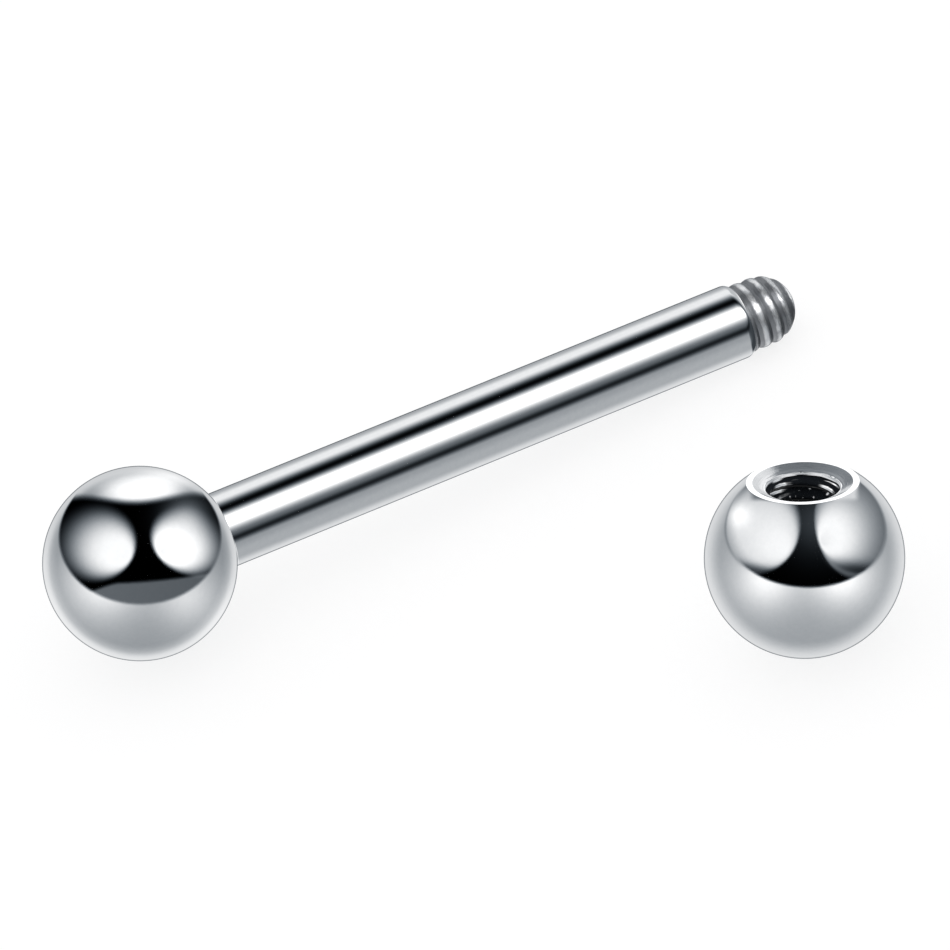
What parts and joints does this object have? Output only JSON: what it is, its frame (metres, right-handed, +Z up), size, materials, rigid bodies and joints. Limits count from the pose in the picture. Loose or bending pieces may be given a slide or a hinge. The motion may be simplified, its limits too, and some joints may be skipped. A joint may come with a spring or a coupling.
{
  "type": "piercing barbell",
  "caption": "Straight metal bar with a fixed ball on one end and a short outside thread on the other, its screw-on ball lying loose beside it.",
  "frame": {"origin": "on the floor, at the middle of the box round the two pieces as they lie", "axes": "+Z up; +X along the bar's line on the floor, from the fixed ball to the threaded end, and the longest side of the box; the loose ball lies on the -Y side"},
  "size_m": [0.017, 0.0132, 0.004],
  "materials": {
    "polished_steel": "mirror-polished stainless steel, with a duller machined thread and a turned countersink"
  },
  "bodies": {
    "root": {"barbell_post": "polished_steel", "screw_ball": "polished_steel"}
  },
  "joints": []
}
